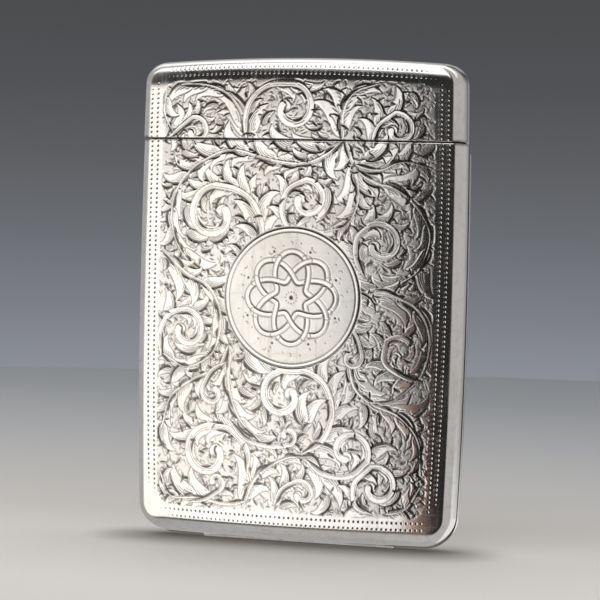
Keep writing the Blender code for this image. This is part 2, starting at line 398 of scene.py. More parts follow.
# Scrolls: the stem's points up to where the volute starts, the volute's centre, and its way round, where 1 is
# anticlockwise
SCROLLS = [
    ([(-6.4, 58.5), (-6.4, 62.9), (-8.5, 67.0), (-12.0, 69.3), (-16.1, 70.1)], (-16.2, 64.2), 1),
    ([(3.5, 60.6), (-0.5, 61.8), (-2.2, 65.4), (-1.0, 69.3), (2.6, 71.4)], (2.8, 67.3), -1),
    ([(14.6, 52.8), (12.9, 56.4), (13.0, 60.4), (15.5, 63.0)], (17.7, 59.2), -1),
    ([(-27.2, 36.0), (-27.4, 41.0), (-25.2, 44.6), (-21.7, 45.4)], (-21.6, 41.3), -1),
    ([(26.6, 33.0), (22.6, 34.0), (18.9, 36.6), (19.2, 40.6)], (21.9, 38.6), -1),
    ([(3.0, 18.2), (7.0, 21.0), (8.9, 26.0), (7.6, 31.4), (3.9, 34.1), (-1.1, 34.4)], (-1.0, 29.3), 1),
    ([(-8.2, 14.0), (-8.4, 18.6), (-12.0, 22.2), (-16.6, 22.8)], (-16.6, 17.2), 1),
    ([(3.6, 17.4), (7.6, 14.6), (12.6, 14.4), (16.2, 17.4)], (12.4, 19.4), 1),
    ([(17.5, 7.2), (14.2, 8.8), (13.8, 13.0), (17.2, 16.4)], (18.4, 12.4), -1),
    ([(-2.6, 8.0), (-0.9, 11.2), (1.9, 12.9)], (3.2, 10.6), -1),
    ([(-12.4, 24.4), (-8.6, 20.6), (-3.6, 19.4), (0.4, 19.9)], (0.1, 21.7), 1),
    ([(-9.6, 78.6), (-9.9, 84.1), (-8.4, 87.4), (-4.8, 89.7), (-0.2, 89.9)], (-0.4, 85.0), -1),
    ([(-26.6, 79.5), (-23.9, 81.6), (-21.2, 83.6)], (-20.4, 80.8), -1),
    ([(15.6, 78.0), (17.0, 82.2), (20.2, 84.8)], (20.9, 81.4), -1),
    ([(-13.0, 35.4), (-16.0, 33.6), (-17.8, 30.6)], (-15.8, 29.2), 1),
    ([(-20.8, 7.4), (-17.4, 8.2), (-14.6, 9.9)], (-14.9, 11.8), 1),
    ([(10.6, 44.6), (13.2, 41.6), (14.4, 38.4)], (12.6, 37.2), -1),
]

# Plain stems: their points, with the side that most leaves grow on (1 is to the left of the way they run)
STEMS = [
    ([(10.1, 79.4), (6.8, 76.4), (2.0, 74.4), (-4.9, 75.0), (-12.4, 76.9), (-18.0, 75.4), (-23.0, 71.6),
      (-25.3, 66.6), (-25.0, 61.0), (-22.4, 56.0), (-18.0, 52.9)], 1),
    ([(10.1, 79.4), (12.4, 72.4), (12.9, 67.2), (10.8, 62.9), (6.6, 61.4)], -1),
    ([(12.4, 73.5), (16.0, 71.3), (20.8, 69.8), (25.0, 66.0), (27.0, 61.0), (25.1, 54.8), (20.8, 51.6),
      (15.1, 50.4)], 1),
    ([(12.3, 74.4), (17.0, 73.6), (21.6, 75.4), (26.8, 74.4)], 1),
    ([(-27.2, 57.0), (-22.0, 52.6), (-16.8, 49.8), (-14.4, 44.1), (-15.9, 37.4), (-21.4, 34.2),
      (-26.6, 36.4)], -1),
    ([(-12.6, 38.6), (-14.6, 34.4), (-20.5, 31.4), (-24.9, 27.9), (-27.0, 21.6)], 1),
    ([(-12.2, 37.9), (-12.4, 30.6), (-10.0, 24.4), (-5.5, 20.4)], -1),
    ([(-9.3, 7.2), (-6.3, 13.3), (-0.6, 17.2), (4.6, 17.9)], 1),
    ([(-8.6, 8.4), (-13.0, 7.6), (-19.0, 8.4), (-25.0, 8.4), (-27.4, 13.0)], -1),
    ([(12.0, 37.4), (13.3, 31.6), (17.0, 28.5), (22.2, 26.2), (25.9, 21.6), (26.6, 15.0)], 1),
    ([(14.4, 49.6), (20.0, 49.4), (25.2, 46.6), (27.3, 41.0), (26.0, 34.4), (21.0, 29.4), (16.4, 28.8)], -1),
    ([(9.9, 78.8), (9.9, 84.6), (12.0, 88.4), (17.0, 90.2)], 1),
    ([(-9.9, 79.4), (-10.6, 83.6), (-13.2, 87.3), (-17.6, 89.6), (-24.0, 90.2)], 1),
    ([(-27.4, 90.0), (-27.6, 84.8), (-25.2, 80.2)], -1),
    ([(20.2, 7.4), (24.2, 8.6), (26.6, 12.6)], 1),
]


def headings(points):
    steps = np.gradient(points, axis=0)
    return np.arctan2(steps[:, 1], steps[:, 0])


def lengths(points):
    return np.concatenate([[0], np.cumsum(np.hypot(*np.diff(points, axis=0).T))])


class Room:
    """A coarse map of what is already drawn, so that leaves grow only where there is room."""

    CELL = 0.35

    def __init__(self):
        self.owner = np.zeros(((FIELD_HIGH - FIELD_LOW) / self.CELL).astype(int) + 2, int)
        self.count = 0

    def cells(self, points):
        index = np.round((points - FIELD_LOW) / self.CELL).astype(int)
        return np.clip(index, 0, np.array(self.owner.shape) - 1).T

    def take(self, points, half_width):
        """Marks a path as taken, and gives the number it is marked with."""
        self.count += 1
        for turn in np.arange(8) * pi / 4:
            for share in (0.0, 0.5, 1.0):
                shift = share * half_width * np.array([cos(turn), sin(turn)])
                self.owner[tuple(self.cells(points + shift))] = self.count
        return self.count

    def free_share(self, points, own):
        """How much of a path is free, leaving out its root."""
        owners = self.owner[tuple(self.cells(points))]
        blocked = (owners > 0) & (owners != own) | ~field_mask(points[:, 0], points[:, 1])
        blocked[:4] = False
        return blocked.argmax() / len(points) if blocked.any() else 1.0


def grow_leaf(plate, room, own, start, heading, length, width, turn, lobes, least=0.5):
    """Draws a leaf as long as there is room for, or none. Says whether there was room."""
    spine = arc_path(start, heading, length, turn, steps=13, tighten=0.9)
    share = min(1.0, room.free_share(spine, own) + 0.06)
    if share < least:
        return False
    spine = arc_path(start, heading, length * share, turn, steps=13, tighten=0.9)
    thick = width * share ** 0.6
    draw_acanthus(plate, spine, thick, -np.sign(turn), rng.uniform(0.85, 1.15), lobes)
    room.take(spine[3:], thick * 0.42)
    return True


def grow_leaves(plate, room, own, points, side, spacing, length, width, first=0.04, last=0.95, lean=0.22,
                curl=1.5, lobes=3):
    """Leaves that sheathe a stem on one side, lying along it at first and curling away from it."""
    run = lengths(points)
    angle = np.unwrap(headings(points))
    place = run[-1] * first
    while place < run[-1] * last:
        x = np.interp(place, run, points[:, 0])
        z = np.interp(place, run, points[:, 1])
        heading = np.interp(place, run, angle)
        size = 1 - 0.35 * place / run[-1] + rng.normal(0, 0.07)
        towards = heading + side * (lean + rng.normal(0, 0.06))
        turn = side * curl * rng.uniform(0.8, 1.25)
        grown = grow_leaf(plate, room, own, (x, z), towards, length * size, width * size, turn, lobes)
        place += spacing * size * rng.uniform(0.9, 1.1) if grown else 0.8


def scroll_points(knots, centre, way):
    """The stem's curve run on into a volute round its centre."""
    knots = np.array(knots, float)
    offset = knots[-1] - np.array(centre)
    radius = hypot(*offset)
    turns = 0.7 + 0.02 * radius
    tightening = 0.85 / (2 * pi * turns)
    volute = spiral_path(centre, radius, atan2(offset[1], offset[0]), turns, way, tightening)
    stem = smooth_path(knots)
    return np.vstack([stem[:-1], volute]), len(stem)


def draw_scroll_leaves(plate, room, own, knots, centre, way):
    """A scroll's leaves: along the outside of its stem, and curling in from the volute's first turn."""
    points, joint = scroll_points(knots, centre, way)
    radius = hypot(*(np.array(knots[-1]) - np.array(centre)))
    grow_leaves(
        plate, room, own, points[: joint + 8], -way, 3.4, 4.6 + 0.8 * radius, 1.7 + 0.26 * radius, last=0.9
    )
    turns = points[max(joint - 6, 0):]
    grow_leaves(
        plate, room, own, turns[: len(turns) * 2 // 3], way, 0.5 * radius + 0.4, 1.6 + 0.85 * radius,
        0.8 + 0.3 * radius, first=0.0, lean=0.3, curl=1.9, lobes=2
    )


def draw_scroll_line(plate, knots, centre, way):
    """The stem and volute over their leaves, swelling into a round head that turns inwards."""
    points, _ = scroll_points(knots, centre, way)
    radius = hypot(*(np.array(knots[-1]) - np.array(centre)))
    thick = 0.8 + 0.12 * radius
    head = 0.35 + 0.19 * radius
    inwards = np.array(centre) - points[-1]
    draw_head(plate, points[-1] + inwards / hypot(*inwards) * (head - 0.55 * thick), head, way)
    draw_stem(plate, points, thick, way, (0.8, 1.15))


def draw_head(plate, centre, radius, way):
    """The round end of a volute, shaded by crescents."""
    area, x, z = plate.window(centre[None, :], radius * 1.6)
    away = np.hypot(x - centre[0], z - centre[1])
    plate.clear(area, np.clip((radius * 1.05 - away) / 0.1, 0, 1))
    plate.height[area] += 0.03 * np.clip(1 - (away / radius) ** 2, 0, 1)
    plate.cut(area, groove(away - radius, 0.1) * (away < radius + 0.2), 0.08, 0.9)
    for share, thick in ((0.8, 0.2), (0.55, 0.1), (0.35, 0.08)):
        angle = np.linspace(-2.6, -0.5, 7) if way > 0 else np.linspace(-0.5, -2.6, 7)
        arc = centre + share * radius * np.stack([np.cos(angle), np.sin(angle)], axis=1)
        draw_line(plate, arc, thick, 0.06, 0.85)


def draw_branch(plate, room, own, knots, side):
    """A plain stem with leaves on both sides, longer on the given one."""
    points = smooth_path(knots)
    grow_leaves(plate, room, own, points, side, 4.4, 10.5, 3.5)
    grow_leaves(plate, room, own, points, -side, 4.6, 8.6, 3.0, first=0.1)
    draw_stem(plate, points, 0.9, side, (1.0, 0.4))


def field_mask(x, z, margin=0.0):
    """1 inside the engraved field, which has rounded corners, and 0 outside."""
    middle = (FIELD_LOW + FIELD_HIGH) / 2
    half = (FIELD_HIGH - FIELD_LOW) / 2 - FIELD_CORNER - margin
    dx = np.maximum(np.abs(x - middle[0]) - half[0], 0)
    dz = np.maximum(np.abs(z - middle[1]) - half[1], 0)
    return np.hypot(dx, dz) < FIELD_CORNER


def nearest_heading(x, z, guides):
    """Heading of the nearest stem."""
    away = np.hypot(guides[:, 0] - x, guides[:, 1] - z)
    return guides[away.argmin(), 2]


def ground_cuts(plate, guides):
    """The worked ground between the leaves: matted, and broken up by short cuts."""
    x, z = plate.x[None, :], plate.z[:, None]
    plate.matt[:] = 0.7 * field_mask(x, z)
    for _ in range(GROUND_STROKES):
        at = rng.uniform(FIELD_LOW, FIELD_HIGH)
        heading = nearest_heading(*at, guides)
        heading += rng.normal(0, 0.7)
        stroke = arc_path(at, heading, rng.uniform(0.6, 1.7), rng.normal(0, 0.6), steps=3)
        draw_line(plate, stroke, rng.uniform(0.08, 0.17), rng.uniform(0.03, 0.1), rng.uniform(0.3, 0.9))


def filler_leaves(plate, room, guides):
    """Leaves in the gaps between the stems, the longest first."""
    for length, tries in FILLERS:
        for _ in range(tries):
            at = rng.uniform(FIELD_LOW + 1, FIELD_HIGH - 1)
            if room.owner[tuple(room.cells(at[None, :]))][0] > 0:
                continue
            heading = nearest_heading(*at, guides)
            side = rng.choice([-1.0, 1.0])
            grow_leaf(
                plate, room, 0, at, heading + side * rng.uniform(0.1, 0.9), length, length * 0.38,
                side * rng.uniform(0.9, 1.7), 2 if length < 5 else 3, least=0.98
            )


def scattered(tries, apart, margin):
    """Places in the field that keep a distance to each other."""
    placed = []
    for _ in range(tries):
        at = rng.uniform(FIELD_LOW + margin / 2, FIELD_HIGH - margin / 2)
        if field_mask(*at, margin) and all(hypot(at[0] - p[0], at[1] - p[1]) > apart for p in placed):
            placed.append(at)
    return placed


def bold_cuts(plate, room, guides):
    """The engraver's widest cuts, in what ground is left, which give the pattern its sparkle from afar."""
    for at in scattered(4000, 1.3, 0.8):
        if room.owner[tuple(room.cells(at[None, :]))][0] > 0:
            continue
        heading = nearest_heading(*at, guides)
        side = rng.choice([-1.0, 1.0])
        draw_crescent(
            plate, at, heading + side * rng.uniform(0.2, 0.9), rng.uniform(1.0, 2.2), rng.uniform(0.26, 0.42),
            side * rng.uniform(0.5, 1.3), rng.integers(2, 4)
        )


def roundel(plate):
    """The reserved disc: a double ring round a smooth ground, with an interlaced knot instead of initials."""
    area, x, z = plate.window(ROUNDEL[None, :], ROUNDEL_RADIUS + 0.8)
    away = np.hypot(x - ROUNDEL[0], z - ROUNDEL[1])
    plate.clear(area, np.clip((ROUNDEL_RADIUS + 0.3 - away) / 0.1, 0, 1))
    plate.height[area] += 0.05 * np.clip(1 - np.abs(away - (ROUNDEL_RADIUS + ROUNDEL_INNER) / 2) / 0.45, 0, 1)
    plate.cut(area, groove(away - ROUNDEL_RADIUS, 0.2), 0.12, 0.85)
    plate.cut(area, groove(away - ROUNDEL_INNER, 0.13), 0.09, 0.75)
    plate.matt[area] = np.maximum(plate.matt[area], 0.8 * (away < ROUNDEL_INNER - 0.1))
    knot(plate)


def knot(plate):
    """A closed interlaced ribbon, drawn in short pieces from the lowest to the highest in the weave."""
    samples = 720
    angle = np.linspace(0, 2 * pi * KNOT_TURNS, samples + 1)
    phase = angle * KNOT_LOOPS / KNOT_TURNS
    reach = KNOT_REACH + KNOT_SWING * np.cos(phase)
    curve = ROUNDEL + np.stack([reach * np.cos(angle), reach * np.sin(angle)], axis=1)
    height = np.sin(phase * 2)
    span = 12
    pieces = sorted(range(0, samples, span // 2), key=lambda i: height[(i + span // 2) % samples])
    for first in pieces:
        index = [(first + i) % samples for i in range(span + 1)]
        draw_ribbon_piece(plate, curve[index], KNOT_RIBBON)
    knot_trim(plate)


def knot_trim(plate):
    """Dots and curls between the knot's loops, round it and at its centre."""
    for number in range(KNOT_LOOPS):
        spoke = 2 * pi * (number + 0.5) / KNOT_LOOPS
        out = np.array([cos(spoke), sin(spoke)])
        draw_dot(plate, ROUNDEL + 9.6 * out, 0.22, 0.08, 0.9)
        draw_dot(plate, ROUNDEL + 10.5 * out, 0.15, 0.06, 0.8)
        for way in (1, -1):
            curl = arc_path(ROUNDEL + 8.6 * out, spoke + way * 0.9, 1.9, way * 3.0, steps=8)
            draw_line(plate, curl, 0.12, 0.06, 0.75)
    for number in range(36):
        spoke, reach = 2 * pi * (number + rng.uniform(-0.3, 0.3)) / 36, rng.uniform(9.8, 11.6)
        at = ROUNDEL + reach * np.array([cos(spoke), sin(spoke)])
        if number % 3:
            draw_dot(plate, at, rng.uniform(0.12, 0.17), 0.05, 0.75)
        else:
            curl = arc_path(at, rng.uniform(0, 2 * pi), 1.3, rng.choice([-3.4, 3.4]), steps=7)
            draw_line(plate, curl, 0.09, 0.05, 0.7)
    draw_dot(plate, ROUNDEL, 0.4, 0.1, 0.9)
    for number in range(12):
        spoke = 2 * pi * number / 12
        draw_dot(plate, ROUNDEL + 1.15 * np.array([cos(spoke), sin(spoke)]), 0.14, 0.05, 0.8)


def draw_ribbon_piece(plate, points, width):
    """A short piece of the knot's ribbon, open at both ends: it hides what it passes over."""
    half = np.full(len(points), width / 2)
    area, across, distance, along = plate.follow(points, half, width / 2 + 0.3)
    body = (along > 0.001) & (along < 0.999)
    cover = np.clip((1.28 - np.abs(across)) / 0.2, 0, 1) * body
    plate.clear(area, cover)
    plate.height[area] += 0.06 * np.clip(1 - across ** 2, 0, 1) * body
    plate.cut(area, groove(distance - width / 2, 0.17) * body, 0.1, 0.95)
    plate.cut(area, groove(distance + width / 2, 0.11) * body, 0.07, 0.85)
    plate.cut(area, groove(distance + 0.2 * width, 0.05) * body, 0.03, 0.35)


def dot_row(plate, start, end, pitch=0.95, radius=0.21):
    """A row of punched dots, which fade out at its ends."""
    start, end = np.array(start, float), np.array(end, float)
    count = max(2, int(round(hypot(*(end - start)) / pitch)))
    for number in range(count + 1):
        at = start + (end - start) * number / count
        fade = min(1.0, 0.45 + 0.2 * min(number, count - number)) * rng.uniform(0.85, 1.1)
        draw_dot(plate, at, radius * (0.75 + 0.25 * fade), 0.1 * fade, 0.85 * fade, rim=0.02 * fade)


def soften(layer, passes=1):
    """A light blur, so that the mesh, which is coarser than the raster, doesn't miss a fine cut."""
    for _ in range(passes):
        for axis in (0, 1):
            layer = 0.5 * layer + 0.25 * (np.roll(layer, 1, axis) + np.roll(layer, -1, axis))
    return layer


def engrave():
    """Draws the whole pattern: ground, leaves, stems, bold cuts, and then the roundel and the border."""
    plate = Plate()
    paths = [scroll_points(*scroll)[0] for scroll in SCROLLS] + [smooth_path(knots) for knots, _ in STEMS]
    guides = np.vstack([np.column_stack([points, headings(points)]) for points in paths])
    ground_cuts(plate, guides)
    room = Room()
    scroll_marks = [room.take(points, 0.5) for points in paths[:len(SCROLLS)]]
    stem_marks = [room.take(points, 0.4) for points in paths[len(SCROLLS):]]
    for own, scroll in zip(scroll_marks, SCROLLS):
        draw_scroll_leaves(plate, room, own, *scroll)
    for own, stem in zip(stem_marks, STEMS):
        draw_branch(plate, room, own, *stem)
    filler_leaves(plate, room, guides)
    for scroll in SCROLLS:
        draw_scroll_line(plate, *scroll)
    bold_cuts(plate, room, guides)
    x, z = plate.x[None, :], plate.z[:, None]
    inside = soften(field_mask(x, z).astype(float), 2)
    for layer in (plate.height, plate.dark, plate.matt):
        layer *= inside
    roundel(plate)
    for start, end in DOT_ROWS:
        dot_row(plate, start, end)
    plate.height = soften(plate.height)
    plate.matt = soften(plate.matt, 3)
    return plate


# ---------------------------------------------------------------------------
# Meshes of the shells
# ---------------------------------------------------------------------------

def pin_axis(node):
    """Depth and height of a pin's axis."""
    low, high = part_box(node)
    return (low.y + high.y) / 2 / MM, (low.z + high.z) / 2 / MM


HINGE_RELIEF = 0.85
LID_AXIS_Y, LID_AXIS_Z = pin_axis("lid_pin")
BASE_AXIS_Z = pin_axis("base_pin")[1]
BASE_RELIEF = 0.75
BASE_RELIEF_HALF = 19.6
EDGE_ROUNDING = 0.22
TAIL_ROWS = 8

# How far round the shoulder each ring lies, from the field to the parting plane; the last are close together
RING_SHARES = np.concatenate([np.linspace(0, 0.95, 13)[1:], [0.985, 0.998, 0.9997, 1.0]])
BACK_ROUND_ROWS = 12
BACK_SIDE_ROWS = 4


class Lattice:
    """The net of plan points that a shell is laid over.

    Columns run from -2 to 2 and rows from 0, at the seam, to 2, at the shell's end; its round corners lie
    between 1 and 2. Rows from -1 to 0 are for the part of the lid's back that reaches below its front seam.
    """

    def __init__(self, half, end, corner, way, columns, rows):
        self.half, self.end, self.corner, self.way = half, end, corner, way
        self.columns, self.rows = columns, rows

    def net(self, stride=1, tail=0):
        below = -np.arange(tail, 0, -1) / max(tail, 1)
        return np.meshgrid(self.columns[::stride], np.concatenate([below, self.rows])[::stride])

    def plan(self, s, t, inset, seam, tail=None):
        reach = self.corner - inset
        a = np.clip(np.abs(s) - 1, 0, 1)
        b = np.clip(t - 1, 0, 1)
        core = (self.half - self.corner) * np.minimum(np.abs(s), 1)
        x = np.sign(s) * (core + reach * a * np.sqrt(1 - b ** 2 / 2))
        start = unarched(x, seam)
        centre = self.end - self.way * self.corner
        z = start + np.clip(t, 0, 1) * (centre - start) + self.way * reach * b * np.sqrt(1 - a ** 2 / 2)
        if tail is not None:
            z = z + np.clip(-t, 0, 1) * (unarched(x, tail) - start)
        return x, z

    def inset(self, x, z):
        dx = np.abs(x) - (self.half - self.corner)
        dz = self.way * (z - self.end) + self.corner
        return self.corner - np.where((dx > 0) & (dz > 0), np.hypot(dx, dz), np.maximum(dx, dz))


def quads(net):
    """The faces between the neighbouring points of a net."""
    corners = (net[:-1, :-1], net[:-1, 1:], net[1:, 1:], net[1:, :-1])
    return np.stack(corners, axis=-1).reshape(-1, 4).tolist()


class Sheet:
    """Points and faces of one piece of sheet metal, with how dark and how matt each point is."""

    def __init__(self, name, shift=0.0):
        self.name, self.shift = name, shift
        self.points, self.cut, self.matt, self.faces = [], [], [], []
        self.count = 0

    def add(self, points, cut=0.0, matt=0.0):
        shape = points.shape[:-1]
        size = int(np.prod(shape))
        self.points.append(points.reshape(-1, 3) + [self.shift, 0, 0])
        self.cut.append(np.broadcast_to(cut, shape).reshape(-1))
        self.matt.append(np.broadcast_to(matt, shape).reshape(-1))
        self.count += size
        return np.arange(self.count - size, self.count).reshape(shape)

    def skin(self, net):
        self.faces += quads(net)

    def rim(self, fine, coarse):
        """Closes an edge between a fine line of points and one that has fewer."""
        stride = (len(fine) - 1) // (len(coarse) - 1)
        for i in range(len(coarse) - 1):
            stretch = fine[i * stride:(i + 1) * stride + 1].tolist()
            self.faces.append(stretch + [int(coarse[i + 1]), int(coarse[i])])

    def make(self, material, body, node):
        mesh = new_mesh(self.name, np.vstack(self.points), self.faces)
        for name, values in (("cut", self.cut), ("matt", self.matt)):
            layer = mesh.attributes.new(name, "FLOAT", "POINT")
            layer.data.foreach_set("value", np.concatenate(values).astype(np.float32))
        return finished(self.name, mesh, material, body, node)


def new_mesh(name, points, faces):
    """A mesh from points in millimetres, with its faces turned outwards."""
    mesh = bpy.data.meshes.new(name)
    mesh.from_pydata((np.array(points) * MM).tolist(), [], faces)
    bm = bmesh.new()
    bm.from_mesh(mesh)
    bmesh.ops.recalc_face_normals(bm, faces=bm.faces)
    bm.to_mesh(mesh)
    bm.free()
    return mesh


def linked(name, data):
    """A new object in the scene."""
    thing = bpy.data.objects.new(name, data)
    bpy.context.scene.collection.objects.link(thing)
    return thing


def finished(name, mesh, material, body, node, sharp=50):
    """Makes the object, shades it, and ties it to the frame."""
    mesh.shade_smooth()
    mesh.set_sharp_from_angle(angle=radians(sharp))
    mesh.materials.append(material)
    piece = linked(name, mesh)
    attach(piece, body)
    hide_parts(node)
    return piece


def boundary(net):
    """Down the left of a net, along its end and back up the right."""
    return np.concatenate([net[:, 0], net[-1, 1:], net[::-1, -1][1:]])


def edge_drop(distance):
    """How far a sheet's rounded edge falls away, at this distance from the edge."""
    t = np.clip(distance, 0, EDGE_ROUNDING)
    return EDGE_ROUNDING - np.sqrt(EDGE_ROUNDING ** 2 - (EDGE_ROUNDING - t) ** 2)


def raised(points, height):
    """Moves a net of points along its normals, outwards from the case."""
    normal = np.cross(np.gradient(points, axis=0), np.gradient(points, axis=1))
    normal /= np.linalg.norm(normal, axis=-1, keepdims=True) + 1e-12
    heart = np.zeros_like(points)
    heart[..., 1] = PARTING_Y
    heart[..., 2] = points[..., 2] * 0.5 + MID_HEIGHT * 0.5
    outwards = points - heart
    normal *= np.sign(np.sum(normal * outwards, axis=-1, keepdims=True))
    return points + normal * height[..., None]


def sampled(layer, plate, x, z):
    """A plate's layer at plan points, by linear interpolation."""
    column = np.clip((x - plate.x[0]) / plate.STEP, 0, len(plate.x) - 1.001)
    row = np.clip((z - plate.z[0]) / plate.STEP, 0, len(plate.z) - 1.001)
    i, j = column.astype(int), row.astype(int)
    u, v = column - i, row - j
    low = layer[j, i] * (1 - u) + layer[j, i + 1] * u
    high = layer[j + 1, i] * (1 - u) + layer[j + 1, i + 1] * u
    return low * (1 - v) + high * v


def lay_front(sheet, lattice, seam, wall=0.0, stride=1, edge=None, plate=None):
    """Lays the front of a shell, or its inside where wall isn't 0: the field, then the shoulder's rings."""
    s, t = lattice.net(stride)
    x, z = lattice.plan(s, t, wall + FIELD_INSET, seam)
    depth = front_depth(x, z, lattice, wall)
    from_seam = np.abs(z - unarched(x, seam))
    flat = bowed(x, z, depth)
    # The row at the seam itself is painted fully dark: painted shade in the seam's gap
    if plate:
        height = sampled(plate.height, plate, x, z) - edge_drop(from_seam)
        cut = np.maximum(sampled(plate.dark, plate, x, z), from_seam < 0.01)
        field = sheet.add(raised(flat, height), cut, sampled(plate.matt, plate, x, z))
    else:
        field = sheet.add(flat, from_seam < 0.01)
    sheet.skin(field)

    s, t = boundary(s), boundary(t)
    rise = SHOULDER_RISE - wall
    outer_x, outer_z = lattice.plan(s, t, wall, seam)
    stop = edge(outer_x, outer_z) if edge else np.zeros_like(outer_x)
    run, square = shoulder(outer_x, outer_z, lattice)
    last = np.arcsin((stop / (rise + crown(outer_x, outer_z))) ** (square / 2))
    first = np.arccos((1 - FIELD_INSET / run) ** (square / 2))
    levels = [boundary(flat)]
    for share in RING_SHARES[stride - 1::stride]:
        angle = first + (last - first) * share
        x, z = lattice.plan(s, t, wall + run * (1 - np.cos(angle) ** (2 / square)), seam)
        levels.append(bowed(x, z, np.sin(angle) ** (2 / square) * (rise + crown(x, z))))
    levels = np.array(levels)
    # Painted shade of the gap, with some tarnish: the metal is darkened over its last half millimetre or so
    # towards the seam and the parting line
    from_seam = np.abs(levels[..., 2] - seam)
    from_parting = PARTING_Y - levels[..., 1] - stop
    seam_shade_and_tarnish = SEAM_SHADE_AND_TARNISH * np.clip(1 - np.minimum(from_seam, from_parting) / SEAM_SHADE_REACH, 0, 1)
    if wall == 0:
        drop = edge_drop(from_seam)
        if edge:
            drop = np.maximum(drop, edge_drop(from_parting))
        levels = raised(levels, -drop)
    rings = np.vstack([boundary(field)[None, :], sheet.add(levels[1:], seam_shade_and_tarnish[1:])])
    sheet.skin(rings)
    return field, rings


def relief_level(depth, way):
    """Height at which the back of a shell ends, where it clears the lid's hinge."""
    y = PARTING_Y - depth
    return LID_AXIS_Z + way * sqrt(max(HINGE_RELIEF ** 2 - (y - LID_AXIS_Y) ** 2, 0.12 ** 2))


def back_seams(lattice, depth, front_seam):
    """Where the rows of a back start at this depth and, where it has a tail, where that ends."""
    level = relief_level(depth, lattice.way)
    return (level, None) if front_seam is None else (front_seam, level)


def lay_back(sheet, lattice, wall=0.0, stride=1, edge=None, front_seam=None, front_path=None, plate=None):
    """Lays the flat back of a shell and the rounding that leads to its sides.

    With front_path, the sides run on into that line of points, and a tail of rows hangs below the front seam.
    """
    tail = TAIL_ROWS if front_path is not None else 0
    s, t = lattice.net(stride, tail)
    deepest = -(BACK_DEPTH - wall)
    x, z = lattice.plan(s, t, wall + BACK_ROUNDING, *back_seams(lattice, deepest, front_seam))
    flat = bowed(x, z, np.full_like(x, deepest))
    if plate:
        height, cut, matt = (sampled(layer, plate, -x, z) for layer in (plate.height, plate.dark, plate.matt))
        field = sheet.add(raised(flat, height), cut, matt)
    else:
        field = sheet.add(flat)
    sheet.skin(field)

    s, t = boundary(s), boundary(t)
    outer_x, outer_z = lattice.plan(s, t, wall, *back_seams(lattice, 0.0, front_seam))
    stop = edge(outer_x, outer_z) if edge else np.zeros_like(outer_x)
    levels = [boundary(flat)]
    rows = BACK_ROUND_ROWS + BACK_SIDE_ROWS
    for row in range(stride, rows + 1, stride):
        angle = pi / 2 * min(row / BACK_ROUND_ROWS, 1)
        along = max(row - BACK_ROUND_ROWS, 0) / BACK_SIDE_ROWS
        depth = deepest + BACK_ROUNDING * (1 - cos(angle))
        depth = depth + (-stop - depth) * along
        seams = back_seams(lattice, float(np.max(depth)), front_seam)
        x, z = lattice.plan(s, t, wall + BACK_ROUNDING * (1 - sin(angle)), *seams)
        levels.append(bowed(x, z, depth * np.ones_like(x)))
    levels = np.array(levels)
    rings = sheet.add(levels[1:-1])
    # The back shell's parting edge is darkened: painted shade of the gap, with some tarnish; the lid's tail
    # is not
    ends = sheet.add(levels[-1], 0.0 if tail else SEAM_SHADE_AND_TARNISH)
    if tail:
        steps = tail // stride
        ends[steps:-steps] = front_path
    rings = np.vstack([boundary(field)[None, :], rings, ends[None, :]])
    sheet.skin(rings)
    return field, rings


def seam_line(field, rings):
    """The open edge at the seam, from the parting plane on the left to the parting plane on the right."""
    return np.concatenate([rings[::-1, 0], field[0, 1:-1], rings[:, -1]])


def spaced(half_core, corner, step):
    """Column marks from -2 to 2, about a step apart, whose counts suit the coarse inside."""
    middle = COARSE * round(2 * half_core / step / COARSE)
    side = COARSE * max(1, round((corner - FIELD_INSET) / step / COARSE))
    left = np.linspace(-2, -1, side + 1)[:-1]
    return np.concatenate([left, np.linspace(-1, 1, middle + 1), -left[::-1]])


def row_marks(length, corner, step):
    """Row marks from 0 to 2, with a few close to the seam for its rounded edge."""
    near = np.array([0.0, 0.04, 0.1, 0.17, 0.26]) / length
    straight = COARSE * round(length / step / COARSE)
    rest = np.linspace(near[-1], 1, straight - len(near) + 2)[1:]
    side = COARSE * max(1, round((corner - FIELD_INSET) / step / COARSE))
    return np.concatenate([near, rest, np.linspace(1, 2, side + 1)[1:]])


def foot_edge(gap):
    """How far from the parting plane a shell ends: a thin gap, and more where it clears the foot's hinge."""
    def edge(x, z):
        height = bowed(x, z, np.zeros_like(x))[..., 2] - BASE_AXIS_Z
        relief = np.sqrt(np.maximum(BASE_RELIEF ** 2 - height ** 2, gap ** 2))
        return np.where((np.abs(x) < BASE_RELIEF_HALF) & (z < MID_HEIGHT), relief, gap)
    return edge


def make_cover(plate, material):
    sheet = Sheet("cover_shell")
    seam = FRONT_SEAM - SEAM_GAP / 2
    lattice = Lattice(
        HALF_WIDTH, COVER_FOOT, FOOT_CORNER, -1, spaced(HALF_WIDTH - FOOT_CORNER, FOOT_CORNER, GRID),
        row_marks(FRONT_SEAM - COVER_FOOT - FOOT_CORNER, FOOT_CORNER, GRID)
    )
    edge = foot_edge(PARTING_GAP / 2)
    outer = lay_front(sheet, lattice, seam, edge=edge, plate=plate)
    inner = lay_front(sheet, lattice, seam, WALL, COARSE, edge=edge)
    sheet.rim(seam_line(*outer), seam_line(*inner))
    sheet.rim(outer[1][-1], inner[1][-1])
    return sheet.make(material, "front", "front_cover")


